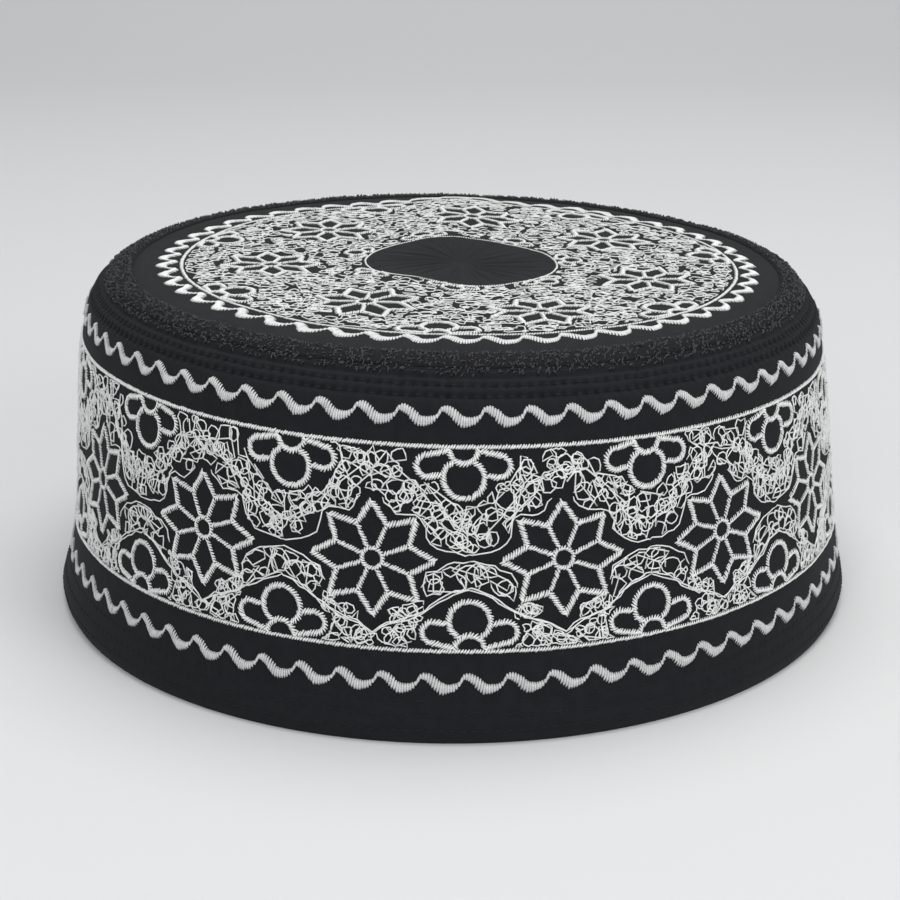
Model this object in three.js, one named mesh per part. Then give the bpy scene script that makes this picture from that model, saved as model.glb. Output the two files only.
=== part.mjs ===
// A kufi: a round brimless cap of black cloth, hollow and open below.
// A tall side band with a folded hem rises to a rounded shoulder, an almost flat crown
// closes the top, and a low roll of overcast thread covers the crown's edge at the seam.
// Millimetres, +Z up. The cap stands on its rim at height 0 and its front faces -Y.

import * as THREE from 'three';

// Driving dimensions
const WALL = 2.2;            // cloth of the side band, embroidered through all its layers
const HEM_WALL = 2.9;        // folded hem, thicker by one turn of cloth
const HEM_FOLD_HEIGHT = 16;  // where the turned-up hem ends on the inside
const HEM_FOLD_STEP = 1.2;   // height over which the inside steps back to the plain wall
const HEM_EASE = 0.3;        // rounding of the hem's fold on the inside
const CROWN_WALL = 2.0;      // cloth of the crown
const GAP = 0.3;             // clearance between neighbouring pieces
const SEAM_RADIUS = 80.0;    // where the side band and the crown meet
const SEGMENTS = 96;         // steps round the cap

// Gathers of the plain middle of the crown
const GATHER_COUNT = 24;
const GATHER_DEPTH = 0.25;
const GATHER_INNER = 3;
const GATHER_OUTER = 20;

// The plan of every section is a circle that is slightly out of round:
// radius: mean radius. height: above the surface that the cap stands on.
// oval: stretch from front to back. tilt: slope up towards the left.
// shift: how far the section lies to the right.

// Outer face of the side band, from the rim to the seam
const BAND_SECTIONS = [
  { radius: 93.4, height: 0.0, oval: 0.024, tilt: 0.0, shift: 0.0 },
  { radius: 94.0, height: 1.2, oval: 0.024, tilt: 0.0, shift: 0.0 },
  { radius: 92.5, height: 10.0, oval: 0.025, tilt: 0.003, shift: 0.4 },
  { radius: 91.0, height: 18.7, oval: 0.026, tilt: 0.006, shift: 0.6 },
  { radius: 88.9, height: 39.0, oval: 0.026, tilt: 0.014, shift: 0.4 },
  { radius: 86.8, height: 59.2, oval: 0.026, tilt: 0.021, shift: 0.2 },
  { radius: 85.9, height: 63.8, oval: 0.025, tilt: 0.021, shift: 0.3 },
  { radius: 85.0, height: 66.8, oval: 0.023, tilt: 0.021, shift: 0.4 },
  { radius: 83.8, height: 68.9, oval: 0.021, tilt: 0.021, shift: 0.4 },
  { radius: 82.2, height: 70.7, oval: 0.018, tilt: 0.020, shift: 0.5 },
  { radius: 80.0, height: 72.1, oval: 0.015, tilt: 0.020, shift: 0.6 },
];

// Upper face of the crown, from the seam to the middle
const CROWN_SECTIONS = [
  { radius: 80.0, height: 72.1, oval: 0.015, tilt: 0.020, shift: 0.6 },
  { radius: 77.3, height: 73.2, oval: 0.011, tilt: 0.019, shift: 0.8 },
  { radius: 73.5, height: 73.7, oval: 0.010, tilt: 0.019, shift: 1.0 },
  { radius: 68.7, height: 74.0, oval: 0.008, tilt: 0.018, shift: 1.2 },
  { radius: 63.4, height: 74.2, oval: 0.004, tilt: 0.017, shift: 1.5 },
  { radius: 53.0, height: 74.3, oval: 0.003, tilt: 0.017, shift: 1.6 },
  { radius: 43.0, height: 74.2, oval: 0.002, tilt: 0.017, shift: 1.7 },
  { radius: 33.0, height: 74.0, oval: 0.001, tilt: 0.016, shift: 1.9 },
  { radius: 25.0, height: 73.9, oval: 0.0, tilt: 0.016, shift: 2.0 },
  { radius: 21.5, height: 73.8, oval: 0.0, tilt: 0.016, shift: 2.0 },
  { radius: 14.0, height: 73.6, oval: 0.0, tilt: 0.016, shift: 2.0 },
  { radius: 7.0, height: 73.4, oval: 0.0, tilt: 0.016, shift: 2.0 },
  { radius: 2.0, height: 73.2, oval: 0.0, tilt: 0.016, shift: 2.0 },
];
const CROWN_POLE_DROP = 0.1; // the middle is pulled in a little where the gathers meet

// The crease that folding has left in the crown, one row for each place along it:
// along: from front (-) to back (+). across: where its top lies. rise: height of the crease.
// left, right: how far it takes to fall away on each side.
const CREASE = [
  { along: -48, across: -10, rise: 0.0, left: 14, right: 9 },
  { along: -36, across: -9, rise: 0.7, left: 14, right: 8 },
  { along: -20, across: -8, rise: 1.3, left: 13, right: 7 },
  { along: 0, across: -4, rise: 1.0, left: 12, right: 9 },
  { along: 22, across: -2, rise: 1.2, left: 11, right: 12 },
  { along: 48, across: 0, rise: 1.4, left: 11, right: 12 },
  { along: 66, across: 1, rise: 1.5, left: 11, right: 11 },
  { along: 73, across: 1, rise: 0.5, left: 11, right: 11 },
  { along: 78, across: 1, rise: 0.0, left: 11, right: 11 },
];

// Section of the overcast roll: radius, and height above the crown's upper face
const RIDGE_SECTION = [
  { radius: 74.0, over: GAP },
  { radius: 77.3, over: GAP },
  { radius: 79.5, over: GAP },
  { radius: 79.8, over: 0.7 },
  { radius: 79.1, over: 1.1 },
  { radius: 77.3, over: 1.2 },
  { radius: 74.8, over: 0.9 },
];

// Value of a column between the rows of a table that is sorted by another column
function lookUp(rows, key, column, at) {
  const rising = rows[0][key] < rows[rows.length - 1][key];
  const sorted = rising ? rows : [...rows].reverse();
  if (at <= sorted[0][key]) return sorted[0][column];
  for (let i = 1; i < sorted.length; i += 1) {
    const low = sorted[i - 1];
    const high = sorted[i];
    if (at <= high[key]) {
      const share = (at - low[key]) / (high[key] - low[key]);
      return low[column] + share * (high[column] - low[column]);
    }
  }
  return sorted[sorted.length - 1][column];
}

// Point of a section at an angle measured from the front towards the right
function sectionPoint(section, angle) {
  const { radius, height, oval, tilt, shift } = section;
  const reach = radius * (1 + oval * Math.cos(2 * angle));
  const right = reach * Math.sin(angle);
  return new THREE.Vector3(right + shift, -reach * Math.cos(angle), height - tilt * right);
}

// Height that the crease adds to the crown at a place in plan
function creaseRise(x, y) {
  const across = lookUp(CREASE, 'along', 'across', y);
  const side = x < across ? 'left' : 'right';
  const away = (x - across) / lookUp(CREASE, 'along', side, y);
  return lookUp(CREASE, 'along', 'rise', y) * Math.exp(-away * away);
}

// Height that the gathers add near the middle of the crown
function gatherRise(radius, angle) {
  if (radius <= GATHER_INNER || radius >= GATHER_OUTER) return 0;
  const share = (radius - GATHER_INNER) / (GATHER_OUTER - GATHER_INNER);
  return GATHER_DEPTH * Math.sin(Math.PI * share) * Math.cos(GATHER_COUNT * angle);
}

// Crown section as a ring of points, lifted by the crease and the gathers
function crownRing(section) {
  return ringOf(section).map((point, step) => {
    const angle = stepAngle(step);
    point.z += creaseRise(point.x, point.y) + gatherRise(section.radius, angle);
    return point;
  });
}

function stepAngle(step) {
  return (step / SEGMENTS) * 2 * Math.PI;
}

function ringOf(section) {
  return Array.from({ length: SEGMENTS }, (_, step) => sectionPoint(section, stepAngle(step)));
}

// Closed skin through rings listed anticlockwise in the half plane of radius and height.
// With poles, the first and last rings close on a point below and above; without, the
// last ring joins the first.
function skin(rings, poles) {
  const points = rings.flat();
  const index = [];
  const vertex = (ring, step) => ring * SEGMENTS + (step % SEGMENTS);
  const spans = poles ? rings.length - 1 : rings.length;
  for (let ring = 0; ring < spans; ring += 1) {
    const next = (ring + 1) % rings.length;
    for (let step = 0; step < SEGMENTS; step += 1) {
      const a = vertex(ring, step);
      const b = vertex(ring, step + 1);
      const c = vertex(next, step + 1);
      const d = vertex(next, step);
      index.push(a, b, c, a, c, d);
    }
  }
  if (poles) {
    const bottom = points.push(poles.bottom) - 1;
    const top = points.push(poles.top) - 1;
    const last = rings.length - 1;
    for (let step = 0; step < SEGMENTS; step += 1) {
      index.push(bottom, vertex(0, step + 1), vertex(0, step));
      index.push(vertex(last, step), vertex(last, step + 1), top);
    }
  }
  const geometry = new THREE.BufferGeometry();
  const flat = points.flatMap((point) => [point.x, point.y, point.z]);
  geometry.setAttribute('position', new THREE.Float32BufferAttribute(flat, 3));
  geometry.setIndex(index);
  geometry.computeVertexNormals();
  return geometry;
}

// Section moved square to the outer face, towards the inside of the cap
function insetSection(sections, place, depth) {
  const before = sections[Math.max(place - 1, 0)];
  const after = sections[Math.min(place + 1, sections.length - 1)];
  const run = after.radius - before.radius;
  const climb = after.height - before.height;
  const length = Math.hypot(run, climb);
  return {
    ...sections[place],
    radius: sections[place].radius - (depth * climb) / length,
    height: sections[place].height + (depth * run) / length,
  };
}

// Section of the straight wall at a height, moved inwards
function wallSection(height, depth) {
  const section = { height };
  for (const column of ['radius', 'oval', 'tilt', 'shift']) {
    section[column] = lookUp(BAND_SECTIONS, 'height', column, height);
  }
  section.radius -= depth;
  return section;
}

function sideBand() {
  const outer = BAND_SECTIONS.map((section) => ({ ...section }));
  const seam = outer[outer.length - 1];
  seam.radius = SEAM_RADIUS + GAP / 2;

  const inner = [{ ...seam, height: seam.height - WALL }];
  const foldTop = HEM_FOLD_HEIGHT + HEM_FOLD_STEP;
  for (let place = outer.length - 2; BAND_SECTIONS[place].height > foldTop; place -= 1) {
    inner.push(insetSection(BAND_SECTIONS, place, WALL));
  }
  inner.push(wallSection(foldTop, WALL));
  inner.push(wallSection(HEM_FOLD_HEIGHT, HEM_WALL));
  inner.push(wallSection(BAND_SECTIONS[1].height, HEM_WALL));
  inner.push({ ...BAND_SECTIONS[0], radius: BAND_SECTIONS[1].radius - HEM_WALL + HEM_EASE });
  return skin([...outer, ...inner].map(ringOf), null);
}

function crownTop() {
  const upper = CROWN_SECTIONS.map((section) => ({ ...section }));
  upper[0].radius = SEAM_RADIUS - GAP / 2;
  const under = upper.map((section) => ({ ...section, height: section.height - CROWN_WALL }));
  const rings = [...under.reverse(), ...upper].map(crownRing);
  const middle = upper[upper.length - 1];
  const top = new THREE.Vector3(middle.shift, 0, middle.height - CROWN_POLE_DROP);
  top.z += creaseRise(top.x, top.y);
  const bottom = top.clone();
  bottom.z -= CROWN_WALL;
  return skin(rings, { bottom, top });
}

function seamRidge() {
  const rings = RIDGE_SECTION.map(({ radius, over }) => {
    const section = { radius };
    for (const column of ['height', 'oval', 'tilt', 'shift']) {
      section[column] = lookUp(CROWN_SECTIONS, 'radius', column, radius);
    }
    section.height += over;
    return crownRing(section);
  });
  return skin(rings, null);
}

const kufi = new THREE.Group();

function addPiece(name, geometry, color, roughness) {
  const material = new THREE.MeshStandardMaterial({ color, roughness, metalness: 0 });
  const piece = new THREE.Mesh(geometry, material);
  piece.name = name;
  kufi.add(piece);
}

addPiece('side_band', sideBand(), 0x26282b, 0.85);
addPiece('crown_top', crownTop(), 0x2a2c2e, 0.85);
addPiece('seam_ridge', seamRidge(), 0x202225, 0.95);

export default kufi;
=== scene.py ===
"""Looks of a black kufi: cloth shells, white embroidery laid thread by thread, stage and camera."""

import math

import bpy
import numpy as np
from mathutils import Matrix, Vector


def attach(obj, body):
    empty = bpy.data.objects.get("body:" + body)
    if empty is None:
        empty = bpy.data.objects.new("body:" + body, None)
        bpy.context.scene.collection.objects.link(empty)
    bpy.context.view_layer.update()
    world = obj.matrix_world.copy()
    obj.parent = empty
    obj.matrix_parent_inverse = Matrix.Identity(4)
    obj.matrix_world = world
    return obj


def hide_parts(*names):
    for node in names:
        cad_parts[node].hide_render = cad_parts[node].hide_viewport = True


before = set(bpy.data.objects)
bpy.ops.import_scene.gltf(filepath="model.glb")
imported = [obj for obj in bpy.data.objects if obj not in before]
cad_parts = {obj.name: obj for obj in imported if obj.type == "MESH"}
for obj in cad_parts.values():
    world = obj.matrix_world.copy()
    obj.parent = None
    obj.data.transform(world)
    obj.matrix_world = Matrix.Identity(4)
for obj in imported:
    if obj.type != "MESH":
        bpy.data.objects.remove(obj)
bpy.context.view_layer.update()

MM = 0.001
FULL_TURN = 2 * math.pi
random = np.random.default_rng(20)

# Sections of the cap's outer face, from the rim to the middle of the crown, in millimetres.
# oval: stretch from front to back. tilt: slope up towards the left. shift: place to the right.
RADIUS, HEIGHT, OVAL, TILT, SHIFT = range(5)
SECTIONS = np.array([
    (93.4, 0.0, 0.024, 0.000, 0.0),
    (94.0, 1.2, 0.024, 0.000, 0.0),
    (92.5, 10.0, 0.025, 0.003, 0.4),
    (91.0, 18.7, 0.026, 0.006, 0.6),
    (88.9, 39.0, 0.026, 0.014, 0.4),
    (86.8, 59.2, 0.026, 0.021, 0.2),
    (85.9, 63.8, 0.025, 0.021, 0.3),
    (85.0, 66.8, 0.023, 0.021, 0.4),
    (83.8, 68.9, 0.021, 0.021, 0.4),
    (82.2, 70.7, 0.018, 0.020, 0.5),
    (80.0, 72.1, 0.015, 0.020, 0.6),
    (77.3, 73.2, 0.011, 0.019, 0.8),
    (73.5, 73.7, 0.010, 0.019, 1.0),
    (68.7, 74.0, 0.008, 0.018, 1.2),
    (63.4, 74.2, 0.004, 0.017, 1.5),
    (53.0, 74.3, 0.003, 0.017, 1.6),
    (43.0, 74.2, 0.002, 0.017, 1.7),
    (33.0, 74.0, 0.001, 0.016, 1.9),
    (25.0, 73.9, 0.000, 0.016, 2.0),
    (21.5, 73.8, 0.000, 0.016, 2.0),
    (14.0, 73.6, 0.000, 0.016, 2.0),
    (7.0, 73.4, 0.000, 0.016, 2.0),
    (2.0, 73.2, 0.000, 0.016, 2.0),
    (0.0, 73.1, 0.000, 0.016, 2.0),
])
LOWER_LINE_ROW, BAND_MIDDLE_ROW, UPPER_LINE_ROW, SEAM_ROW = 3, 4, 5, 10

# Walls and clearances
WALL = 2.2
HEM_WALL = 2.9
HEM_FOLD_HEIGHT = 16.5
CROWN_WALL = 2.0
SEAM_GAP = 0.15

# Crease that folding has left in the crown: along front to back, across where its top lies,
# rise its height, left and right how far it takes to fall away
ALONG, ACROSS, RISE, LEFT, RIGHT = range(5)
CREASE = np.array([
    (-48, -10, 0.0, 14, 9),
    (-36, -9, 0.7, 14, 8),
    (-20, -8, 1.3, 13, 7),
    (0, -4, 1.0, 12, 9),
    (22, -2, 1.2, 11, 12),
    (48, 0, 1.4, 11, 12),
    (66, 1, 1.5, 11, 11),
    (73, 1, 0.5, 11, 11),
    (78, 1, 0.0, 11, 11),
])

# Gathers of the crown's plain middle: pleats round the middle, and their share of the depth
GATHER_DEPTH = 0.09
GATHER_INNER, GATHER_OUTER = 1.5, 21.0
GATHER_WAVES = [(24, 0.6, 1.0), (37, 2.1, 0.6), (53, 4.0, 0.4)]

# Rows of black running stitch: arc from the rim, depth and half width of the groove that they pull
STITCH_ROWS = [
    (3.4, 0.03, 0.7),
    (6.3, 0.04, 0.7),
    (9.0, 0.04, 0.7),
    (69.4, 0.34, 0.8),
    (71.7, 0.38, 0.8),
]
SEAM_GROOVE = (73.6, 0.75, 0.8)
STITCH_LENGTH, STITCH_STEP = 1.55, 2.2
PUCKER_DEPTH, PUCKER_SHARPNESS = 2.2, 4

# Slow unevenness of the cloth: waves round the cap, waves up the wall, phase and height
UNEVEN = [(5, 0.9, 0.4, 0.12), (9, 1.7, 2.2, 0.09), (17, 2.6, 4.1, 0.06), (31, 4.3, 1.3, 0.03)]

# Arcs over which the unevenness dies away, at the rim and at the crown's middle
EVEN_RIM, EVEN_MIDDLE = 12, 40

# Fine crumpling of the shoulder, between two arcs: two crossing ripples, waves round the cap and lean
CRUMPLE_HEIGHT = 0.08
CRUMPLE_FROM, CRUMPLE_TO = 67.0, 80.0
RIPPLE, RIPPLE_LEAN = 211, 2.1
CROSS_RIPPLE, CROSS_LEAN = 173, 1.7

# Small tucks that cross the stitch rows of the shoulder: angle in degrees, depth, half width
TUCKS = [(-7.2, 0.35, 0.5), (-0.9, 0.3, 0.4), (25.9, 0.4, 0.5), (96.0, 0.3, 0.5), (188.0, 0.35, 0.5)]
TUCK_FROM, TUCK_TO = 68.5, 74.5

# Arc length along the outer face, from the rim
ARC = np.concatenate([[0.0], np.cumsum(np.hypot(*np.diff(SECTIONS[:, [RADIUS, HEIGHT]], axis=0).T))])
SLOPES = np.gradient(SECTIONS, ARC, axis=0)
LOWER_LINE, UPPER_LINE, SEAM, POLE = (ARC[row] for row in (LOWER_LINE_ROW, UPPER_LINE_ROW, SEAM_ROW, -1))


def section_at(arc):
    """Section columns at arc lengths from the rim, on a smooth curve through the table's rows."""
    arc = np.clip(arc, 0, POLE)
    low = np.clip(np.searchsorted(ARC, arc) - 1, 0, len(ARC) - 2)
    span = (ARC[low + 1] - ARC[low])[..., None]
    t = (arc - ARC[low])[..., None] / span
    start = (2 * t**3 - 3 * t**2 + 1) * SECTIONS[low] + (t**3 - 2 * t**2 + t) * span * SLOPES[low]
    end = (3 * t**2 - 2 * t**3) * SECTIONS[low + 1] + (t**3 - t**2) * span * SLOPES[low + 1]
    return start + end


def arc_of_radius(radius):
    """Arc length at a radius of the crown."""
    return np.interp(-radius, -SECTIONS[SEAM_ROW:, RADIUS], ARC[SEAM_ROW:])


def crease_rise(x, y):
    """Height that the crease adds to the crown."""
    columns = (ACROSS, RISE, LEFT, RIGHT)
    across, rise, left, right = (np.interp(y, CREASE[:, ALONG], CREASE[:, c]) for c in columns)
    away = (x - across) / np.where(x < across, left, right)
    return rise * np.exp(-away**2)


def gather_rise(radius, angle):
    """Height that the gathers add near the middle of the crown."""
    share = np.clip((radius - GATHER_INNER) / (GATHER_OUTER - GATHER_INNER), 0, 1)
    pleats = sum(part * np.cos(count * angle + phase) for count, phase, part in GATHER_WAVES)
    return GATHER_DEPTH * np.sin(math.pi * share) * pleats


def base_point(arc, angle):
    """Point of the outer face, before its fine relief. Angles run from the front to the right."""
    arc, angle = np.broadcast_arrays(np.asarray(arc, float), np.asarray(angle, float))
    radius, height, oval, tilt, shift = np.moveaxis(section_at(arc), -1, 0)
    reach = radius * (1 + oval * np.cos(2 * angle))
    x, y = reach * np.sin(angle), -reach * np.cos(angle)
    on_crown = arc > SEAM
    rise = np.where(on_crown, crease_rise(x + shift, y) + gather_rise(radius, angle), 0)
    return np.stack([x + shift, y, height - tilt * x + rise], -1)


def unit(vectors):
    return vectors / np.maximum(np.linalg.norm(vectors, axis=-1, keepdims=True), 1e-12)


def normal_at(arc, angle, step=0.15):
    """Outward direction of the face."""
    turn = step / 20
    up = base_point(np.minimum(arc + step, POLE), angle) - base_point(arc - step, angle)
    round_ = base_point(arc, angle + turn) - base_point(arc, angle - turn)
    return unit(np.cross(round_, up))


def stitches_round(row):
    """Number of running stitches in a row round the cap."""
    return int(FULL_TURN * np.interp(row, ARC, SECTIONS[:, RADIUS]) / STITCH_STEP)


def relief(arc, angle):
    """Fine relief of the cloth along its normal: grooves of the stitch rows, tucks and unevenness."""
    row, deep, width = SEAM_GROOVE
    depth = deep * np.exp(-(((arc - row) / width) ** 2))
    for row, deep, width in STITCH_ROWS:
        between = (0.5 - 0.5 * np.cos(stitches_round(row) * angle)) ** PUCKER_SHARPNESS
        depth = depth + deep * (1 + PUCKER_DEPTH * between) * np.exp(-(((arc - row) / width) ** 2))
    for degrees, deep, width in TUCKS:
        away = (np.angle(np.exp(1j * (angle - math.radians(degrees))))) * SECTIONS[SEAM_ROW, RADIUS]
        window = np.clip(np.minimum(arc - TUCK_FROM, TUCK_TO - arc), 0, 1)
        depth = depth + deep * window * np.exp(-((away / width) ** 2))
    crumple = np.sin(RIPPLE * angle + RIPPLE_LEAN * arc) * np.sin(CROSS_RIPPLE * angle - CROSS_LEAN * arc)
    window = np.clip(np.minimum(arc - CRUMPLE_FROM, CRUMPLE_TO - arc), 0, 1)
    depth = depth + CRUMPLE_HEIGHT * crumple * window
    swell = sum(
        height * np.sin(around * angle + phase) * np.sin(FULL_TURN * up * arc / SEAM + phase)
        for around, up, phase, height in UNEVEN
    )
    fade = np.clip(arc / EVEN_RIM, 0, 1) * np.clip((POLE - arc) / EVEN_MIDDLE, 0, 1)
    return swell * fade - depth


def on_cloth(arc, angle, lift=0.0):
    """Points lifted off the cloth, and the cloth's normals there."""
    normal = normal_at(arc, angle)
    return base_point(arc, angle) + normal * (relief(arc, angle) + lift)[..., None], normal


# Mesh building

def add_piece(name, points, faces, material, uv=None, replaces=None):
    """Mesh object in the part's frame that rides on the cap."""
    mesh = bpy.data.meshes.new(name)
    mesh.from_pydata((points * MM).tolist(), [], faces)
    mesh.polygons.foreach_set("use_smooth", np.ones(len(mesh.polygons), bool))
    if uv is not None:
        layer = mesh.uv_layers.new(name="cloth")
        corner = np.zeros(len(mesh.loops), np.int32)
        mesh.loops.foreach_get("vertex_index", corner)
        layer.data.foreach_set("uv", uv[corner].astype(np.float32).ravel())
    mesh.materials.append(material)
    mesh.update()
    piece = bpy.data.objects.new(name, mesh)
    bpy.context.scene.collection.objects.link(piece)
    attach(piece, "root")
    if replaces:
        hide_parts(replaces)


def ring_faces(rings, segments, closed):
    """Quads between rings of points; closed joins the last ring to the first."""
    ring = np.arange(rings if closed else rings - 1)[:, None]
    step = np.arange(segments)[None]
    after = (ring + 1) % rings
    beside = (step + 1) % segments
    here, there = ring * segments, after * segments
    corners = (here + step, here + beside, there + beside, there + step)
    return np.stack(np.broadcast_arrays(*corners), -1).reshape(-1, 4).tolist()


# Sides of a thread's section
SIDES = 4


def tubes(centres, normals, half_width, half_height):
    """Closed four-sided tubes, one for each row of centres, with their flat side on the cloth."""
    count, length, _ = centres.shape
    along = unit(np.gradient(centres, axis=1))
    side = unit(np.cross(along, normals))
    up = np.cross(side, along)
    turn = FULL_TURN * np.arange(SIDES) / SIDES
    wide = np.broadcast_to(half_width, (count, length))[..., None, None]
    high = np.broadcast_to(half_height, (count, length))[..., None, None]
    ring = np.cos(turn)[:, None] * side[:, :, None] * wide + np.sin(turn)[:, None] * up[:, :, None] * high
    points = (centres[:, :, None] + ring).reshape(-1, 3)
    first = (np.arange(count) * length * SIDES)[:, None, None]
    place = np.arange(length - 1)[None, :, None] * SIDES
    corner = np.arange(SIDES)[None, None]
    beside = (corner + 1) % SIDES
    quads = np.stack(
        np.broadcast_arrays(
            first + place + corner,
            first + place + SIDES + corner,
            first + place + SIDES + beside,
            first + place + beside,
        ),
        -1,
    ).reshape(-1, 4)
    start = np.arange(count)[:, None] * length * SIDES + np.arange(SIDES)
    end = start[:, ::-1] + (length - 1) * SIDES
    return points, np.concatenate([quads, start, end])


# Share of its thickness that a thread keeps at its ends
END_TAPER = 0.62


def thread_piece(name, runs, half_width, half_height, material):
    """One piece from runs of thread: each run is arcs, angles and lifts of many threads of one length."""
    all_points, all_faces, used = [], [], 0
    for arc, angle, lift in runs:
        centres, normals = on_cloth(arc, angle, lift)
        taper = np.ones(centres.shape[1])
        taper[[0, -1]] = END_TAPER
        points, faces = tubes(centres, normals, half_width * taper, half_height * taper)
        all_points.append(points)
        all_faces.append(faces + used)
        used += len(points)
    faces = np.concatenate(all_faces).tolist()
    add_piece(name, np.concatenate(all_points), faces, material)


# Materials

def new_material(name, base, roughness, sheen, sheen_roughness=0.5):
    material = bpy.data.materials.new(name)
    material.use_nodes = True
    nodes, links = material.node_tree.nodes, material.node_tree.links
    shader = nodes["Principled BSDF"]
    shader.inputs["Base Color"].default_value = (*base, 1)
    shader.inputs["Roughness"].default_value = roughness
    shader.inputs["Sheen Weight"].default_value = sheen
    shader.inputs["Sheen Roughness"].default_value = sheen_roughness
    shader.inputs["Specular IOR Level"].default_value = 0.35
    return material, nodes, links, shader


def add_colour_noise(nodes, links, shader, coordinates, scale, low, high, detail=4.0):
    """Mottled base colour between two shades."""
    noise = nodes.new("ShaderNodeTexNoise")
    noise.inputs["Scale"].default_value = scale
    noise.inputs["Detail"].default_value = detail
    links.new(coordinates, noise.inputs["Vector"])
    ramp = nodes.new("ShaderNodeValToRGB")
    ramp.color_ramp.elements[0].position = 0.3
    ramp.color_ramp.elements[1].position = 0.7
    ramp.color_ramp.elements[0].color = (*low, 1)
    ramp.color_ramp.elements[1].color = (*high, 1)
    links.new(noise.outputs["Fac"], ramp.inputs["Fac"])
    links.new(ramp.outputs["Color"], shader.inputs["Base Color"])
    return noise


WEAVE_PITCH = 0.42
WAVE_TEXTURE_PERIOD = 0.314


def cloth_material(name, low, high):
    """Matte black cotton: plain weave, faint mottling and a soft bloom at grazing angles."""
    material, nodes, links, shader = new_material(name, high, 0.9, 0.02, 0.6)
    shader.inputs["Specular IOR Level"].default_value = 0.22
    coordinates = nodes.new("ShaderNodeUVMap")
    coordinates.uv_map = "cloth"
    add_colour_noise(nodes, links, shader, coordinates.outputs["UV"], 0.35, low, high)
    threads = []
    for direction in ("X", "Y"):
        wave = nodes.new("ShaderNodeTexWave")
        wave.bands_direction = direction
        wave.inputs["Scale"].default_value = WAVE_TEXTURE_PERIOD / WEAVE_PITCH
        wave.inputs["Distortion"].default_value = 1.2
        wave.inputs["Detail Scale"].default_value = 2.0
        links.new(coordinates.outputs["UV"], wave.inputs["Vector"])
        threads.append(wave.outputs["Fac"])
    weave = nodes.new("ShaderNodeMath")
    weave.operation = "MULTIPLY"
    links.new(threads[0], weave.inputs[0])
    links.new(threads[1], weave.inputs[1])
    bump = nodes.new("ShaderNodeBump")
    bump.inputs["Strength"].default_value = 0.35
    bump.inputs["Distance"].default_value = 0.10 * MM
    links.new(weave.outputs["Value"], bump.inputs["Height"])
    links.new(bump.outputs["Normal"], shader.inputs["Normal"])
    return material


def thread_material(name, low, high, roughness, sheen, scale=900.0):
    """Sewing thread: small changes of shade from strand to strand and a fine twisted surface."""
    material, nodes, links, shader = new_material(name, high, roughness, sheen)
    coordinates = nodes.new("ShaderNodeTexCoord")
    noise = add_colour_noise(nodes, links, shader, coordinates.outputs["Object"], scale, low, high, 2.0)
    bump = nodes.new("ShaderNodeBump")
    bump.inputs["Strength"].default_value = 0.25
    bump.inputs["Distance"].default_value = 0.05 * MM
    links.new(noise.outputs["Fac"], bump.inputs["Height"])
    links.new(bump.outputs["Normal"], shader.inputs["Normal"])
    return material


BAND_CLOTH = cloth_material("band_cloth", (0.0060, 0.0068, 0.0086), (0.0090, 0.0100, 0.0122))
# Crown cloth: the band's black cotton with a lighter base colour, painted light of the top-lit crown
CROWN_CLOTH_PAINTED_LIGHT = cloth_material("crown_cloth", (0.0085, 0.0092, 0.0104), (0.0126, 0.0134, 0.0148))
# Seam roll: black cloth given a darker colour than the band, painted shade in the gaps between the overcast
# stitches
SEAM_CLOTH_PAINTED_SHADE = thread_material("seam_cloth_painted_shade", (0.002, 0.0021, 0.0025), (0.006, 0.0062, 0.007), 0.9, 0.0)
BLACK_THREAD = thread_material("black_thread", (0.003, 0.0033, 0.0042), (0.0065, 0.0070, 0.0085), 0.75, 0.0)
# Overcast thread: black thread whose lighter shades are painted glints on the rough stitches
ROUGH_THREAD_PAINTED_GLINT = thread_material("rough_thread_painted_glint", (0.010, 0.0106, 0.0120), (0.060, 0.0620, 0.0660), 0.5, 0.06)
WHITE_THREAD = thread_material("white_thread", (0.76, 0.77, 0.76), (0.90, 0.91, 0.89), 0.42, 0.1)
# White satin: the white thread greyed, painted shade of the satin waves on the upright wall
WHITE_SATIN_PAINTED_SHADE = thread_material("white_satin_painted_shade", (0.52, 0.53, 0.53), (0.66, 0.67, 0.66), 0.36, 0.05)


# Cloth shells

BAND_STEPS = 1200
# Arcs between which the band has rows, and how many
BAND_ROWS = [(0.0, 1.5, 3), (1.5, 10.5, 9), (10.5, 68.0, 28), (68.0, SEAM - SEAM_GAP, 20)]
INNER_ROWS = 6
# Rounding of the hem: arc of the rim's fold, height over which the fold ends, and gain at the foot
RIM_FOLD, FOLD_STEP, FOOT_ROUNDING = 1.5, 1.2, 0.9
CROWN_STEPS = 384
CROWN_ROW_PITCH = 1.1
CROWN_UNDER_PITCH = 5.0
POLE_HOLE = 0.3


def turn_angles(steps):
    return FULL_TURN * np.arange(steps) / steps


def cloth_uv(arc, angle):
    """Flat coordinates in millimetres for the weave."""
    return np.stack(np.broadcast_arrays(angle * SECTIONS[LOWER_LINE_ROW, RADIUS], arc), -1)


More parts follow.
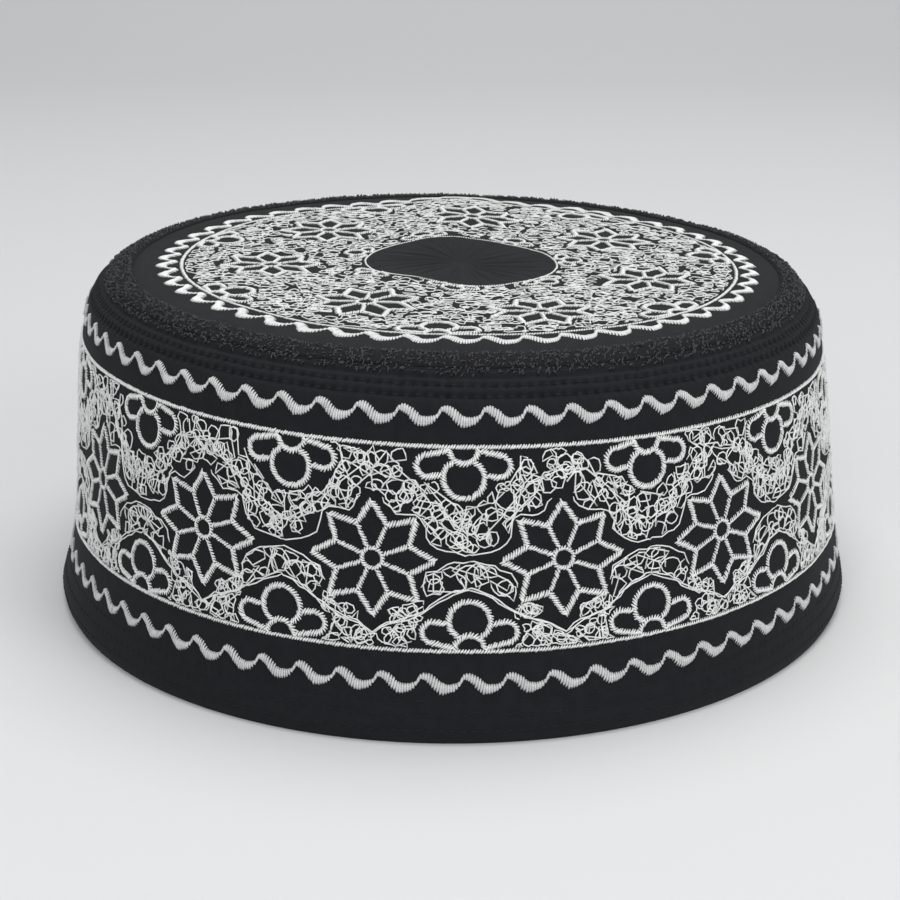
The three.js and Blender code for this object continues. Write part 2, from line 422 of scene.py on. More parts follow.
def side_band():
    angle = turn_angles(BAND_STEPS)[None]
    outer_arc = [np.linspace(low, high, count, endpoint=False) for low, high, count in BAND_ROWS]
    outer_arc = np.append(np.concatenate(outer_arc), SEAM - SEAM_GAP)[:, None]
    outer = on_cloth(outer_arc, angle, np.zeros((1, 1)))[0]
    inner_arc = np.linspace(SEAM - SEAM_GAP, RIM_FOLD, INNER_ROWS)[:, None]
    height = section_at(inner_arc)[..., HEIGHT]
    fold = np.clip((HEM_FOLD_HEIGHT - height) / FOLD_STEP, 0, 1)
    wall = WALL + (HEM_WALL - WALL) * fold
    inner = base_point(inner_arc, angle) - normal_at(inner_arc, angle) * wall[..., None]
    inner[0, :, :2] = base_point(inner_arc[:1], angle)[0, :, :2]
    rim = base_point(np.zeros((1, 1)), angle)
    foot = rim.copy()
    foot[..., :2] *= 1 - (HEM_WALL - FOOT_ROUNDING) / SECTIONS[0, RADIUS]
    outer[0, :, 2] = 0
    points = np.concatenate([outer, inner, foot])
    arcs = np.concatenate([outer_arc, inner_arc, np.zeros((1, 1))])
    uv = cloth_uv(arcs, angle).reshape(-1, 2)
    faces = ring_faces(len(points), BAND_STEPS, True)
    add_piece("band_shell", points.reshape(-1, 3), faces, BAND_CLOTH, uv, "side_band")


def crown_top():
    angle = turn_angles(CROWN_STEPS)[None]
    last = arc_of_radius(POLE_HOLE)
    upper_arc = np.linspace(SEAM + SEAM_GAP, last, int((last - SEAM) / CROWN_ROW_PITCH))[:, None]
    upper = on_cloth(upper_arc, angle, np.zeros((1, 1)))[0]
    under_arc = np.linspace(last, SEAM + SEAM_GAP, int((last - SEAM) / CROWN_UNDER_PITCH))[:, None]
    under = base_point(under_arc, angle) - np.array([0, 0, CROWN_WALL])
    points = np.concatenate([under, upper])
    faces = ring_faces(len(points), CROWN_STEPS, False)
    faces.append(list(range(CROWN_STEPS))[::-1])
    faces.append(list(range((len(points) - 1) * CROWN_STEPS, len(points) * CROWN_STEPS)))
    uv = cloth_uv(np.concatenate([under_arc, upper_arc]), angle).reshape(-1, 2)
    # The crown takes the lighter cloth colour: painted light of the top-lit crown
    add_piece("crown_shell", points.reshape(-1, 3), faces, CROWN_CLOTH_PAINTED_LIGHT, uv, "crown_top")


# Overcast roll at the seam: arc and height of its section, as in the solid

ROLL_INNER, ROLL_OUTER = 81.2, 75.6
ROLL_HEIGHT = 0.45
ROLL_FULLNESS = 0.6
ROLL_TOP_LIFT, ROLL_BASE_LIFT = 0.12, 0.02
ROLL_STEPS, ROLL_ROWS = 480, 10


def roll_lift(arc, angle):
    """Height of the roll's rounded back above the cloth."""
    share = np.clip((arc - ROLL_OUTER) / (ROLL_INNER - ROLL_OUTER), 0, 1)
    lumps = 0.05 * np.sin(61 * angle + 3 * share) + 0.04 * np.sin(113 * angle + 5)
    return (ROLL_HEIGHT + lumps) * np.sin(math.pi * share) ** ROLL_FULLNESS


def seam_roll():
    angle = turn_angles(ROLL_STEPS)[None]
    top_arc = np.linspace(ROLL_OUTER, ROLL_INNER, ROLL_ROWS)[:, None]
    top = on_cloth(top_arc, angle, ROLL_TOP_LIFT + roll_lift(top_arc, angle))[0]
    base_arc = top_arc[::-1]
    base = on_cloth(base_arc, angle, np.full((1, 1), ROLL_BASE_LIFT))[0]
    points = np.concatenate([top, base])
    faces = ring_faces(len(points), ROLL_STEPS, True)
    # The roll's darker colour is painted shade between the overcast stitches
    add_piece("seam_roll", points.reshape(-1, 3), faces, SEAM_CLOTH_PAINTED_SHADE, replaces="seam_ridge")


OVERCAST_COUNT = 4900
OVERCAST_LENGTH = 0.75
OVERCAST_SHARES = np.array([[-0.5, 0.0, 0.5]])
OVERCAST_CHANGE = (0.6, 1.3)
OVERCAST_LIFTS = np.array([[0.02, 0.40, 0.02]])
OVERCAST_FROM, OVERCAST_TO = ROLL_OUTER - 1.5, ROLL_INNER - 0.6
OVERCAST_SLANT, OVERCAST_SPREAD = math.radians(50), math.radians(40)


def overcast_threads():
    """Rough field of short slanting stitches over the roll."""
    start = random.uniform(0, FULL_TURN, (OVERCAST_COUNT, 1))
    place = random.uniform(OVERCAST_FROM, OVERCAST_TO, (OVERCAST_COUNT, 1))
    way = random.normal(OVERCAST_SLANT, OVERCAST_SPREAD, (OVERCAST_COUNT, 1))
    length = OVERCAST_LENGTH * OVERCAST_SHARES
    along = length * random.uniform(*OVERCAST_CHANGE, (OVERCAST_COUNT, 1))
    arc = place + along * np.sin(way)
    angle = start + along * np.cos(way) / SECTIONS[SEAM_ROW + 1, RADIUS]
    rise = OVERCAST_LIFTS * random.uniform(*OVERCAST_CHANGE, (OVERCAST_COUNT, 1))
    lift = roll_lift(arc, angle) + rise
    # The overcast stitches take the black thread with painted glints
    thread_piece("overcast_thread", [(arc, angle, lift)], 0.17, 0.15, ROUGH_THREAD_PAINTED_GLINT)


def running_stitches():
    """Rows of black running stitch, each stitch lying in its row's groove."""
    runs = []
    for row, _, _ in STITCH_ROWS:
        count = stitches_round(row)
        half = STITCH_LENGTH / STITCH_STEP * math.pi / count
        share = np.array([[-1.0, -0.6, 0.6, 1.0]])
        angle = turn_angles(count)[:, None] + half * share + random.normal(0, 0.0006, (count, 1))
        arc = row + random.normal(0, 0.06, (count, 1)) + 0 * angle
        lift = np.array([[-0.15, 0.05, 0.05, -0.15]]) + 0 * angle
        runs.append((arc, angle, lift))
    thread_piece("running_stitch", runs, 0.16, 0.13, BLACK_THREAD)


# White embroidery

STITCH_PITCH = 0.56
COLUMN_WIDTH = 1.2
SPOKE_WIDTH = 0.95
LINE_WIDTH = 0.8
THREAD_HALF_WIDTH = 0.24
THREAD_HALF_HEIGHT = 0.15
COLUMN_LIFT = 0.34
SLANT = math.radians(38)
BAND_RADIUS = SECTIONS[BAND_MIDDLE_ROW, RADIUS]
BAND_HEIGHT = UPPER_LINE - LOWER_LINE

# The band's repeats aren't sewn quite evenly: they crowd a little towards one place at the front
CROWDING = math.radians(0.75)
CROWDED_AT = math.radians(14)


def crowded(angle):
    return angle + CROWDING * np.sin(2 * (CROWDED_AT - angle))


def band_chart(flat):
    """Flat places on the band, across and up in millimetres from the lower line, as arcs and angles."""
    return LOWER_LINE + flat[..., 1], crowded(flat[..., 0] / BAND_RADIUS)


def crown_chart(flat):
    """Places in the plan of the crown, to the right and to the back, as arcs and angles."""
    return arc_of_radius(np.hypot(flat[..., 0], flat[..., 1])), np.arctan2(flat[..., 0], -flat[..., 1])


def resample(path, pitch):
    """Points at an even pitch along a path, and its direction there."""
    path = np.asarray(path, float)
    length = np.concatenate([[0], np.cumsum(np.linalg.norm(np.diff(path, axis=0), axis=1))])
    count = max(int(round(length[-1] / pitch)), 2)
    at = (np.arange(count) + 0.5) * length[-1] / count
    point = np.stack([np.interp(at, length, path[:, axis]) for axis in (0, 1)], -1)
    nudge = 0.3
    ahead = np.stack([np.interp(at + nudge, length, path[:, axis]) for axis in (0, 1)], -1)
    behind = np.stack([np.interp(at - nudge, length, path[:, axis]) for axis in (0, 1)], -1)
    return point, unit(ahead - behind)


def satin(path, width):
    """Short stitches laid side by side across a path, as flat places of their two ends and their middle."""
    point, along = resample(path, STITCH_PITCH)
    normal = np.stack([-along[:, 1], along[:, 0]], -1)
    across = normal * math.cos(SLANT) + along * math.sin(SLANT)
    half = width / 2 / math.cos(SLANT) * (1 + random.normal(0, 0.11, (len(point), 1)))
    point = point + random.normal(0, 0.03, point.shape)
    return np.stack([point - across * half, point, point + across * half], 1)


def arc_path(centre, size, start, end, steps=24):
    """Points of an elliptical arc between two angles in degrees."""
    t = np.radians(np.linspace(start, end, steps))
    return np.stack([centre[0] + size[0] * np.cos(t), centre[1] + size[1] * np.sin(t)], -1)


# Eight-petalled star, a little wider than high
PETALS = 8
STAR_TIP = 12.1
STAR_VALLEY = 7.7
STAR_RING = 2.05
STAR_SHAPE = np.array([1.01, 0.95])


def star_outline(scale=1.0):
    """Edges of a star with one tip straight up, each its own path."""
    turn = math.radians(90) + FULL_TURN * np.arange(2 * PETALS + 1) / (2 * PETALS)
    reach = np.where(np.arange(2 * PETALS + 1) % 2, STAR_VALLEY, STAR_TIP) * scale
    corner = np.stack([reach * np.cos(turn), reach * np.sin(turn)], -1) * STAR_SHAPE
    return [corner[i : i + 2] for i in range(2 * PETALS)]


def star_spokes(scale=1.0):
    """Middle ring of a star and the spokes from it to the valleys between the petals."""
    ring = STAR_RING * scale
    paths = [arc_path((0, 0), (ring, ring), 0, 360)]
    for edge in star_outline(scale)[::2]:
        valley = edge[1]
        paths.append(np.stack([unit(valley) * (ring + 0.4), valley * 0.96]))
    return paths


# Half-flower standing on a line: a half ring, a round petal and a drop-shaped petal on each side
HALF_RING = 2.9
ROUND_PETAL, ROUND_PETAL_HEIGHT = 4.0, 6.1
ROUND_PETAL_FOOT = (2.0, 2.9)
SIDE_PETAL_FOOT = (3.1, 0.7)
SIDE_PETAL, SIDE_PETAL_PLACE = 2.15, (7.0, 3.75)
SIDE_PETAL_END = (4.5, 5.5)


def flower_paths(scale=1.0):
    """Half-flower that grows upwards from a line at height 0."""
    foot_x, foot_y = ROUND_PETAL_FOOT
    petal = arc_path((0, ROUND_PETAL_HEIGHT), (ROUND_PETAL, ROUND_PETAL), -35, 215, steps=36)
    side = arc_path(SIDE_PETAL_PLACE, (SIDE_PETAL, SIDE_PETAL), -70, 105)
    drop = np.concatenate([[SIDE_PETAL_FOOT], side, [SIDE_PETAL_END]])
    paths = [
        arc_path((0, 0.3), (HALF_RING, HALF_RING), 0, 180),
        np.concatenate([[(foot_x, foot_y)], petal, [(-foot_x, foot_y)]]),
        drop,
        drop * np.array([-1, 1]),
    ]
    return [path * scale for path in paths]


def placed(paths, origin, turn=0.0, flip=False):
    """Paths turned and moved to a place; flip hangs them upside down."""
    cos, sin = math.cos(turn), math.sin(turn)
    rotation = np.array([[cos, sin], [-sin, cos]])
    mirror = np.array([1, -1 if flip else 1])
    return [(path * mirror) @ rotation + origin for path in paths]


def stitch_runs(paths, chart, width=COLUMN_WIDTH, lift=COLUMN_LIFT):
    """Satin columns along paths as one run of threads."""
    flat = np.concatenate([satin(path, width) for path in paths])
    arc, angle = chart(flat)
    rise = np.array([[-0.05, lift, -0.05]]) * (1 + random.normal(0, 0.12, (len(flat), 1)))
    return [(arc, angle, rise)]


# Repeat of the band
STARS = 15
FIRST_STAR = math.radians(13.5)
STAR_HEIGHT = 18.1
REPEAT = FULL_TURN * BAND_RADIUS / STARS


def star_across(index):
    return FIRST_STAR * BAND_RADIUS + index * REPEAT


def white_piece(
    name, runs, half_width=THREAD_HALF_WIDTH, half_height=THREAD_HALF_HEIGHT, material=WHITE_THREAD
):
    thread_piece(name, runs, half_width, half_height, material)


def band_stars():
    edges, spokes = [], []
    for index in range(STARS):
        place = (star_across(index), STAR_HEIGHT)
        edges += placed(star_outline(), place)
        spokes += placed(star_spokes(), place)
    white_piece("band_stars", stitch_runs(edges, band_chart) + stitch_runs(spokes, band_chart, SPOKE_WIDTH))


# Upper flowers that were sewn off their places, and how far to the right
FLOWER_NUDGES = {12: 1.3, 13: 2.0, 14: -0.7}


def upper_flower_across(index):
    return star_across(index + 0.5) + FLOWER_NUDGES.get(index % STARS, 0.0)


def band_flowers():
    upper, lower = [], []
    for index in range(STARS):
        upper += placed(flower_paths(), (upper_flower_across(index), BAND_HEIGHT), flip=True)
        lower += placed(flower_paths(), (star_across(index + 0.5), 0.0))
    white_piece("upper_flowers", stitch_runs(upper, band_chart))
    white_piece("lower_flowers", stitch_runs(lower, band_chart))


LINE_LIFT = 0.26


def band_lines():
    paths = []
    for height in (0.0, BAND_HEIGHT):
        across = np.linspace(0, FULL_TURN * BAND_RADIUS, 200)
        paths.append(np.stack([across, np.full_like(across, height)], -1))
    white_piece("band_lines", stitch_runs(paths, band_chart, LINE_WIDTH, LINE_LIFT))


# Wave borders, for one wave from the foot of its crest: share of it, depth of the satin's middle
# under the crest, and the satin's thickness there
WAVE_SHARE, WAVE_FALL, WAVE_THICK = range(3)
WAVE = np.array([
    (0.00, 0.96, 0.75),
    (0.06, 0.72, 1.30),
    (0.16, 0.92, 1.80),
    (0.26, 1.41, 2.00),
    (0.35, 2.13, 2.35),
    (0.45, 2.86, 2.30),
    (0.51, 3.25, 2.30),
    (0.61, 3.32, 2.00),
    (0.72, 3.18, 1.75),
    (0.80, 2.98, 1.50),
    (0.87, 2.62, 1.15),
    (0.93, 2.15, 0.75),
    (0.97, 1.60, 0.50),
    (1.00, 0.96, 0.75),
])
JOIN_SHARES = np.array([0.86, 0.93, 0.97, 1.0, 1.05])
WAVE_DEPTH = 4.4
STITCHES_PER_WAVE = 17
WAVE_LEAN = 0.2
WAVE_HALF_WIDTH, BAND_WAVE_HALF_HEIGHT = 0.29, 0.12
# Borders of the band: waves, degrees of the first foot, crests and troughs over the lower line, radius
UPPER_WAVES = (66, -2.0, 48.6, 44.4, 85.0)
LOWER_WAVES = (70, 1.05, -4.3, -8.7, 92.3)


def wave_runs(waves, first_foot, crest, trough, radius, height=0.30, fullness=1.0):
    """Satin wave round the cap between the arcs of its crests and troughs, in upright stitches."""
    count = waves * STITCHES_PER_WAVE
    scale = (crest - trough) / WAVE_DEPTH
    share = (np.arange(count) + 0.5) / STITCHES_PER_WAVE
    middle = crest - scale * np.interp(share % 1, WAVE[:, WAVE_SHARE], WAVE[:, WAVE_FALL])
    thick = fullness * scale * np.interp(share % 1, WAVE[:, WAVE_SHARE], WAVE[:, WAVE_THICK])
    thick = thick * (1 + random.normal(0, 0.05, count))
    slope = np.gradient(middle) / (FULL_TURN * radius / count)
    part = np.array([[-0.5, -0.25, 0.25, 0.5]]) * thick[:, None]
    arc = middle[:, None] + part
    angle = first_foot + FULL_TURN * share[:, None] / waves - WAVE_LEAN * slope[:, None] * part / radius
    lift = np.array([[-0.05, height, height, -0.05]]) * (1 + random.normal(0, 0.08, (count, 1)))
    join = np.arange(waves)[:, None] + JOIN_SHARES
    join_arc = crest - scale * np.interp(join % 1, WAVE[:, WAVE_SHARE], WAVE[:, WAVE_FALL])
    join_angle = first_foot + FULL_TURN * join / waves
    return [(arc, angle, lift), (join_arc, join_angle, np.full_like(join_arc, height / 2))]


def band_wave(waves, degrees, crest, trough, radius):
    return wave_runs(waves, math.radians(degrees), LOWER_LINE + crest, LOWER_LINE + trough, radius)


def band_waves():
    upper = band_wave(*UPPER_WAVES)
    upper = [(arc, crowded(angle), lift) for arc, angle, lift in upper]
    lower = band_wave(*LOWER_WAVES)
    # The band's waves take the greyed white: painted shade of the satin on the upright wall
    white_piece("band_waves", upper + lower, WAVE_HALF_WIDTH, BAND_WAVE_HALF_HEIGHT, WHITE_SATIN_PAINTED_SHADE)


# Crown embroidery
# Stars of the crown, which weren't sewn quite evenly: distance from the middle, degrees round from the
# front, and degrees that the star is turned out of line
CROWN_STAR_PLACES = [
    (47.7, 20.8, 6.5),
    (44.2, 70.3, 0.0),
    (42.5, 125.3, 0.0),
    (43.5, 175.8, 0.0),
    (43.5, 227.2, 0.0),
    (43.5, 278.6, 0.0),
    (44.6, 333.5, 0.0),
]
CROWN_STAR_SCALE = 0.97
CROWN_FLOWERS = 7
CROWN_FIRST_FLOWER = math.radians(47.2)
CROWN_RING = 63.4
DISC_EDGE = 22.0
CROWN_WAVES = 52
CROWN_FIRST_FOOT = math.radians(-2.9)
CROWN_CREST, CROWN_WAVE_MIDDLE, CROWN_TROUGH = 64.3, 66.7, 69.1
CROWN_WAVE_LIFT, CROWN_WAVE_FULLNESS = 0.22, 1.1


def crown_place(radius, angle):
    return np.array([radius * math.sin(angle), -radius * math.cos(angle)])


OUTER_FLOWER_SCALE = 0.9
INNER_FLOWER_SCALE = 0.6
CROWN_COLUMN_LIFT = 0.28
CROWN_COLUMN_WIDTH = 1.35
CROWN_LINE_LIFT = 0.14
CROWN_FILL_LIFT = 0.10
CROWN_HALF_HEIGHT = 0.11
DISC_LINE_WIDTH = 0.45


def crown_motifs():
    edges, spokes, small = [], [], []
    for radius, degrees, turn in CROWN_STAR_PLACES:
        place = crown_place(radius, math.radians(degrees))
        facing = math.pi + math.radians(degrees + turn)
        edges += placed(star_outline(CROWN_STAR_SCALE), place, facing)
        spokes += placed(star_spokes(CROWN_STAR_SCALE), place, facing)
    for index in range(CROWN_FLOWERS):
        angle = CROWN_FIRST_FLOWER + FULL_TURN * index / CROWN_FLOWERS
        edges += placed(flower_paths(OUTER_FLOWER_SCALE), crown_place(CROWN_RING, angle), angle)
        small += placed(flower_paths(INNER_FLOWER_SCALE), crown_place(DISC_EDGE, angle), math.pi + angle)
    runs = stitch_runs(edges, crown_chart, CROWN_COLUMN_WIDTH, CROWN_COLUMN_LIFT)
    runs += stitch_runs(spokes + small, crown_chart, SPOKE_WIDTH, CROWN_COLUMN_LIFT)
    white_piece("crown_motifs", runs)


def crown_lines():
    ring = arc_path((0, 0), (CROWN_RING, CROWN_RING), 0, 360, steps=200)
    edge = arc_path((0, 0), (DISC_EDGE, DISC_EDGE), 0, 360, steps=120)
    runs = stitch_runs([ring], crown_chart, LINE_WIDTH, CROWN_LINE_LIFT)
    runs += stitch_runs([edge], crown_chart, DISC_LINE_WIDTH, CROWN_FILL_LIFT)
    white_piece("crown_lines", runs, THREAD_HALF_WIDTH, CROWN_HALF_HEIGHT)


def crown_wave():
    crest, trough = arc_of_radius(CROWN_CREST), arc_of_radius(CROWN_TROUGH)
    shape = (CROWN_WAVE_MIDDLE, CROWN_WAVE_LIFT, CROWN_WAVE_FULLNESS)
    runs = wave_runs(CROWN_WAVES, CROWN_FIRST_FOOT, crest, trough, *shape)
    white_piece("crown_wave", runs, WAVE_HALF_WIDTH, CROWN_HALF_HEIGHT)


# Squiggled filling

FILL_STEP = 1.2
ROUNDEST_STEP = 0.8
SHORTEST_PATH = 5
FILL_HALF = 0.15
HALF_REPEAT = REPEAT / 2

# Edges of the filled fields of one half repeat: distance from the star's axis, height over the lower line
GARLAND_UNDER = np.array([
    (0, 31.6), (2.2, 30.4), (4.4, 27.2), (9.1, 27.4), (10.5, 24.7),
    (10.6, 22.4), (12.8, 20.6), (15.9, 19.8), (18.7, 19.6),
])
GARLAND_OVER = np.array([(0, 40.5), (10.0, 40.5), (10.8, 35.5), (12.6, 34.0), (15.2, 31.0), (18.7, 29.4)])
FAN_OVER = np.array([(9.4, 12.8), (10.4, 15.4), (13.3, 16.9), (16.4, 18.0), (18.7, 18.2)])
CHAIN = np.array([(0, 3.1), (3.4, 5.1), (7.6, 6.5), (9.7, 7.8), (14.1, 10.8), (15.9, 11.6), (18.7, 12.5)])
GARLAND_SPINE = np.array([(0, 36.4), (3, 36.0), (6, 34.4), (9, 31.0), (12, 27.6), (15, 25.0), (18.7, 23.8)])


# Clearances and reaches of the fields
FIELD_MARGIN = 0.2
FAN_FROM = 9.6
FOOT_LOWEST, FOOT_REACH = 0.6, 10.2
LOBE_FROM, LOBE_TO = 2.8, 10.0
LOBE_SINK, LOBE_HEIGHT = 0.3, 3.4


def edge_height(edge, across):
    return np.interp(across, edge[:, 0], edge[:, 1])


def off_axis(across):
    """Distance from the nearest star's axis."""
    return abs((across - FIRST_STAR * BAND_RADIUS + HALF_REPEAT) % REPEAT - HALF_REPEAT)


def in_garland(x, y):
    away = off_axis(x)
    under, over = edge_height(GARLAND_UNDER, away), edge_height(GARLAND_OVER, away)
    if not under + FIELD_MARGIN < y < over - FIELD_MARGIN:
        return False
    nearest = round((x - star_across(0.5)) / REPEAT)
    return not on_flower(x - upper_flower_across(nearest), BAND_HEIGHT - y, 1.0)


def in_fan(x, y):
    away = off_axis(x)
    under, over = edge_height(CHAIN, away), edge_height(FAN_OVER, away)
    return away > FAN_FROM and under + FIELD_MARGIN < y < over - FIELD_MARGIN


def in_foot(x, y):
    away = off_axis(x)
    if away > FOOT_REACH or not FOOT_LOWEST < y < edge_height(CHAIN, away):
        return False
    return not on_flower(HALF_REPEAT - away, y, 1.0)


def in_lobe(x, y):
    away = off_axis(x)
    chain = edge_height(CHAIN, away)
    return LOBE_FROM < away < LOBE_TO and chain - LOBE_SINK < y < chain + LOBE_HEIGHT


def scattered(allowed, low, high, pitch):
    """Places all over a field, column by column, up and down in turn."""
    places = []
    for column, x in enumerate(np.arange(low[0], high[0], pitch)):
        rows = np.arange(low[1], high[1], pitch)
        for y in rows[::-1] if column % 2 else rows:
            place = np.array([x, y]) + random.normal(0, 0.28 * pitch, 2)
            if allowed(*place):
                places.append(place)
    return places


def looped(places, allowed, small, large, leap=6.0):
    """Lines of straight stitches that loop round each place in turn, and start anew after a leap."""
    paths = [[]]
    before = None
    for place in places:
        if before is not None and np.linalg.norm(place - before) > leap:
            paths.append([])
        before = place
        radius = random.uniform(small, large)
        count = random.integers(6, 12)
        hand = random.choice((-1, 1))
        step = min(FILL_STEP / radius, ROUNDEST_STEP)
        turn = random.uniform(0, FULL_TURN) + hand * np.arange(count) * step
        reach = radius * random.uniform(0.8, 1.2, count)
        for spot in np.stack([reach * np.cos(turn), reach * np.sin(turn)], -1):
            for share in (1.0, 0.55, 0.2):
                if allowed(*(place + share * spot)):
                    spot = place + share * spot
                    if paths[-1] and not allowed(*(0.5 * (paths[-1][-1] + spot))):
                        paths.append([])
                    paths[-1].append(spot)
                    break
    return [np.array(path) for path in paths if len(path) > SHORTEST_PATH]


def drop_repeats(path):
    """Path without stitches of no length."""
    moved = np.linalg.norm(np.diff(path, axis=0), axis=1) > 0.05
    return path[np.concatenate([[True], moved])]


def line_run(path, chart, height=0.2):
    """Single laid thread along a path, rising and falling a little over what it crosses."""
    path = drop_repeats(path)
    arc, angle = chart(path[None])
    sway = np.sin(np.arange(len(path)) * 1.7 + random.uniform(0, FULL_TURN))
    lift = height * (1 + 0.5 * sway + random.normal(0, 0.15, len(path)))
    return arc, angle, lift[None]


def both_sides(half, across):
    """Edge of a half repeat and its mirror image, as one path over a star's axis at across."""
    mirrored = half[::-1] * np.array([-1, 1])
    return np.concatenate([mirrored, half]) + np.array([across, 0])


def ragged(path, amount=0.22, stitch=1.8):
    """Path cut into stitches, each point a little out of line."""
    point, _ = resample(path, stitch)
    return np.concatenate([path[:1], point + random.normal(0, amount, point.shape), path[-1:]])


LONG_STITCH = 4.5
GARLAND_PITCH, SPINE_PITCH, FAN_PITCH, FOOT_PITCH = 2.6, 2.4, 2.7, 1.8


def band_filling():
    runs = []
    for index in range(STARS):
        middle = star_across(index)
        left, right = middle - HALF_REPEAT, middle + HALF_REPEAT
        paths = looped(scattered(in_garland, (left, 20), (right, 41), GARLAND_PITCH), in_garland, 1.0, 2.0)
        spine, _ = resample(both_sides(GARLAND_SPINE[1:], middle), SPINE_PITCH)
        spine = spine + random.normal(0, 0.8, spine.shape)
        paths += looped([spot for spot in spine if in_garland(*spot)], in_garland, 0.6, 1.3)
        paths.append(ragged(both_sides(GARLAND_SPINE[1:], middle), 1.1, LONG_STITCH))
        paths += looped(scattered(in_fan, (left + 18, 8), (right + 18, 19), FAN_PITCH), in_fan, 1.4, 2.2)
        paths += looped(scattered(in_foot, (middle - 11, 1), (middle + 11, 9), FOOT_PITCH), in_foot, 0.8, 1.6)
        for side in (-10, 2):
            lobe = scattered(in_lobe, (middle + side, 4), (middle + side + 8, 12), FOOT_PITCH)
            paths += looped(lobe, in_lobe, 0.9, 1.6)
        for edge in (CHAIN, CHAIN + np.array([0, 0.4])):
            paths.append(ragged(both_sides(edge, middle)))
        for side in (-1, 1):
            for edge in (GARLAND_UNDER[1:], FAN_OVER):
                paths.append(ragged(edge * np.array([side, 1]) + np.array([middle, 0])))
        runs += [line_run(path, band_chart) for path in paths]
    white_piece("band_filling", runs, FILL_HALF, FILL_HALF)


STAR_MARGIN = 1.5
FLOWER_MARGIN = 0.5


def star_reach(turn):
    """Outline radius of a star at an angle from one of its tips."""
    half = math.pi / PETALS
    fold = abs((turn + half) % (2 * half) - half)
    tip, valley = STAR_TIP, STAR_VALLEY
    return tip * valley * math.sin(half) / (tip * math.sin(fold) + valley * math.sin(half - fold))


def on_flower(x, y, scale):
    """Whether a place near a half-flower, in its own frame, lies on its petals."""
    margin = FLOWER_MARGIN + COLUMN_WIDTH / 2
    if math.hypot(x, y - ROUND_PETAL_HEIGHT * scale) < ROUND_PETAL * scale + margin:
        return True
    if math.hypot(x, y) < HALF_RING * scale + margin:
        return True
    away_x, away_y = abs(x) - SIDE_PETAL_PLACE[0] * scale, y - SIDE_PETAL_PLACE[1] * scale
    return math.hypot(away_x, away_y) < SIDE_PETAL * scale + margin


def on_crown_field(x, y):
    """Whether a place of the crown is free for filling."""
    radius = math.hypot(x, y)
    if not DISC_EDGE + 0.8 < radius < CROWN_RING - 0.8:
        return False
    for star_radius, degrees, turn in CROWN_STAR_PLACES:
        across, back = np.array([x, y]) - crown_place(star_radius, math.radians(degrees))
        from_tip = math.atan2(across, -back) - math.radians(degrees + turn)
        if math.hypot(across, back) < star_reach(from_tip) * CROWN_STAR_SCALE + STAR_MARGIN:
            return False
    sector = FULL_TURN / CROWN_FLOWERS
    from_flower = (math.atan2(x, -y) - CROWN_FIRST_FLOWER + sector / 2) % sector - sector / 2
    out, side = radius * math.cos(from_flower), radius * math.sin(from_flower)
    if on_flower(side, CROWN_RING - out, OUTER_FLOWER_SCALE):
        return False
    return not on_flower(side, out - DISC_EDGE, INNER_FLOWER_SCALE)


CROWN_FILL_PITCH = 2.35
CROWN_SLICES = 28


def crown_filling():
    """Looping lines over all the free ground of the crown, slice by slice."""
    paths = []
    slice_angle = FULL_TURN / CROWN_SLICES
    for index in range(CROWN_SLICES):
        places = []
        for row, radius in enumerate(np.arange(DISC_EDGE + 1.5, CROWN_RING - 1, CROWN_FILL_PITCH)):
            count = max(int(round(radius * slice_angle / CROWN_FILL_PITCH)), 1)
            order = np.arange(count) if row % 2 else np.arange(count)[::-1]
            for place in order:
                spot = crown_place(radius, slice_angle * (index + (place + 0.5) / count))
                spot = spot + random.normal(0, 0.28 * CROWN_FILL_PITCH, 2)
                if on_crown_field(*spot):
                    places.append(spot)
        paths += looped(places, on_crown_field, 0.7, 1.5, 4.5)
    runs = [line_run(path, crown_chart, CROWN_FILL_LIFT) for path in paths]
    white_piece("crown_filling", runs, FILL_HALF, CROWN_HALF_HEIGHT)


# Stage, light and camera

FLOOR_COLOUR = (0.725, 0.73, 0.73)


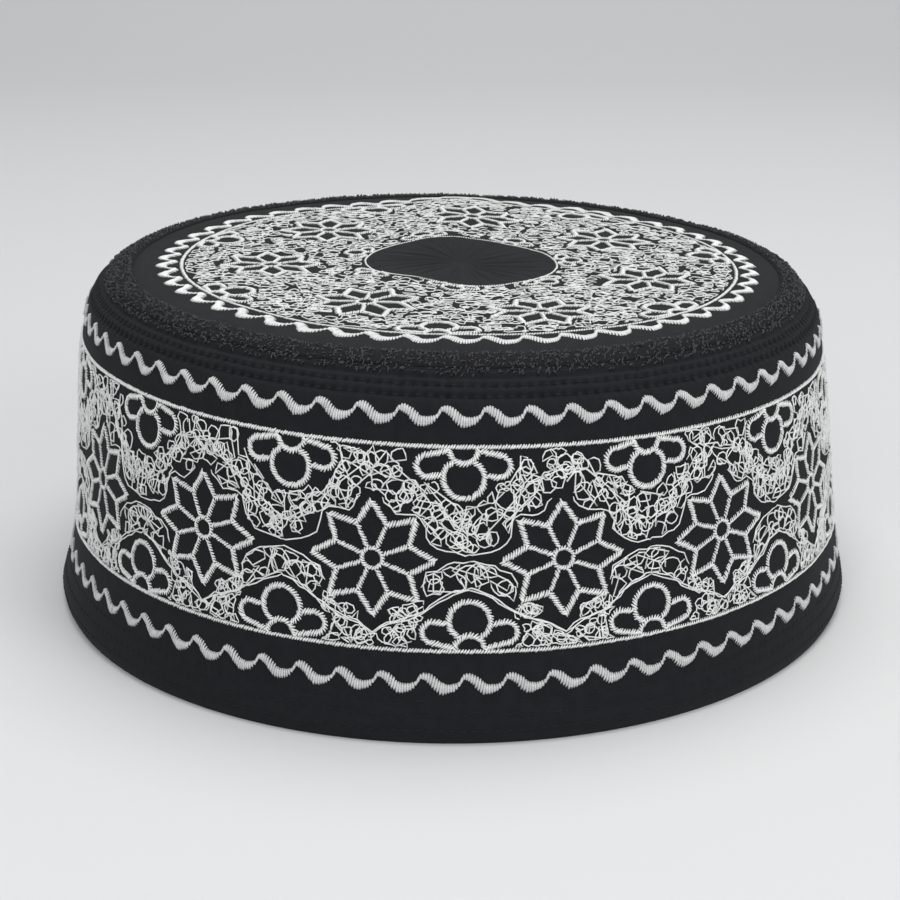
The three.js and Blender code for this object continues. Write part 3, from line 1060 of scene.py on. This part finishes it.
def build_stage():
    """Pale floor that sweeps up into a backdrop far behind the cap."""
    half, depth, height, bend = 3.0, 1.6, 1.4, 0.8
    profile = [(-2.0, 0.0), (depth - bend, 0.0)]
    for step in range(1, 13):
        turn = math.radians(90 * step / 12)
        profile.append((depth - bend + bend * math.sin(turn), bend - bend * math.cos(turn)))
    profile.append((depth, bend + height))
    points = [(x, y, z) for y, z in profile for x in (-half, half)]
    faces = [(2 * i, 2 * i + 1, 2 * i + 3, 2 * i + 2) for i in range(len(profile) - 1)]
    mesh = bpy.data.meshes.new("floor")
    mesh.from_pydata(points, [], faces)
    mesh.polygons.foreach_set("use_smooth", np.ones(len(faces), bool))
    material = new_material("floor", FLOOR_COLOUR, 0.9, 0.0)[0]
    mesh.materials.append(material)
    floor = bpy.data.objects.new("floor", mesh)
    bpy.context.scene.collection.objects.link(floor)


def add_light(name, place, target, size, power):
    lamp = bpy.data.lights.new(name, "AREA")
    lamp.shape = "DISK"
    lamp.size = size
    lamp.energy = power
    light = bpy.data.objects.new(name, lamp)
    light.location = place
    aim(light, target)
    bpy.context.scene.collection.objects.link(light)


def aim(thing, target):
    way = Vector(target) - Vector(thing.location)
    thing.rotation_euler = way.to_track_quat("-Z", "Y").to_euler()


def build_lights():
    world = bpy.data.worlds.new("studio")
    bpy.context.scene.world = world
    world.use_nodes = True
    background = world.node_tree.nodes["Background"]
    background.inputs["Color"].default_value = (0.95, 0.97, 1.0, 1)
    background.inputs["Strength"].default_value = 0.32
    add_light("top_softbox", (0.1, 0.1, 1.3), (0, 0, 0.05), 1.2, 10.5)
    add_light("front_softbox", (-0.3, -1.3, 0.8), (0, 0, 0.04), 0.9, 7.5)
    add_light("right_fill", (0.9, -0.9, 0.7), (0, 0, 0.04), 0.8, 5)


# Camera at the photo's place: millimetres and degrees
CAMERA_PLACE = (0.7, -448.8, 180.4)
CAMERA_DOWN = 18.705
CAMERA_YAW = -0.168
CAMERA_ROLL = 0.022
CAMERA_LENS = 80.0
CAMERA_SENSOR = 36.0


def build_camera():
    lens = bpy.data.cameras.new("camera")
    lens.lens = CAMERA_LENS
    lens.sensor_width = CAMERA_SENSOR
    lens.sensor_fit = "AUTO"
    camera = bpy.data.objects.new("camera", lens)
    camera.location = [value * MM for value in CAMERA_PLACE]
    pitch, roll, yaw = math.radians(90 - CAMERA_DOWN), math.radians(-CAMERA_ROLL), math.radians(-CAMERA_YAW)
    camera.rotation_euler = (pitch, roll, yaw)
    bpy.context.scene.collection.objects.link(camera)
    bpy.context.scene.camera = camera
    bpy.context.scene.view_settings.view_transform = "Standard"


build_camera()
build_stage()
build_lights()
side_band()
crown_top()
seam_roll()
overcast_threads()
running_stitches()
band_stars()
band_flowers()
band_lines()
band_waves()
band_filling()
crown_motifs()
crown_lines()
crown_wave()
crown_filling()
